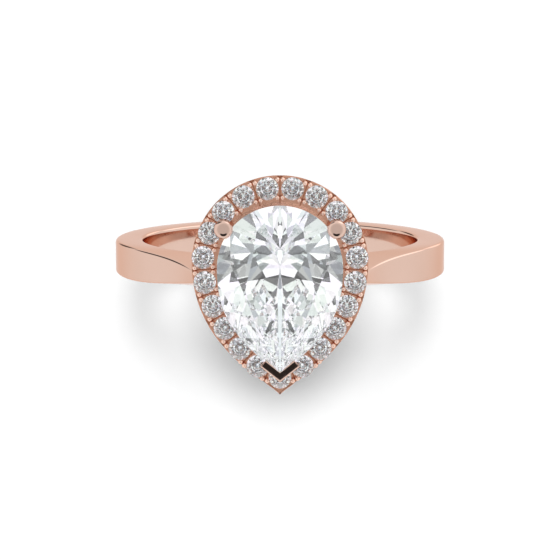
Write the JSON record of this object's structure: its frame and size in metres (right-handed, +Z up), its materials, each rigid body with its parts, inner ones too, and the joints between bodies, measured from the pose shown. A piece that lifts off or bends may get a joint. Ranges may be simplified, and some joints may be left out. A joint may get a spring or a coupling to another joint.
{
  "type": "engagement ring",
  "caption": "Rose gold engagement ring: a pear-cut centre stone in a halo of small round brilliants, on a plain band with tapering cathedral shoulders.",
  "frame": {"origin": "centre of the finger hole, half way across the band", "axes": "+Y along the finger towards the round end of the pear, +Z up from the finger through the centre stone, +X across the band to the right of someone looking at the stone with its point towards them"},
  "size_m": [0.0198, 0.0124, 0.0235],
  "materials": {
    "rose_gold": "mirror-polished 18 carat rose gold",
    "centre_diamond": "polished facets, clear and colourless",
    "melee_diamond": "polished facets, clear and colourless"
  },
  "bodies": {
    "root": {"shank": "rose_gold", "base_rail": "rose_gold", "gallery_rail": "rose_gold", "halo": "rose_gold", "claw_left": "rose_gold", "claw_right": "rose_gold", "v_claw": "rose_gold", "centre_stone": "centre_diamond", "melee_01": "melee_diamond", "melee_02": "melee_diamond", "melee_03": "melee_diamond", "melee_04": "melee_diamond", "melee_05": "melee_diamond", "melee_06": "melee_diamond", "melee_07": "melee_diamond", "melee_08": "melee_diamond", "melee_09": "melee_diamond", "melee_10": "melee_diamond", "melee_11": "melee_diamond", "melee_12": "melee_diamond", "melee_13": "melee_diamond", "melee_14": "melee_diamond", "melee_15": "melee_diamond", "melee_16": "melee_diamond", "melee_17": "melee_diamond", "melee_18": "melee_diamond", "melee_19": "melee_diamond", "melee_20": "melee_diamond", "melee_21": "melee_diamond"}
  },
  "joints": []
}
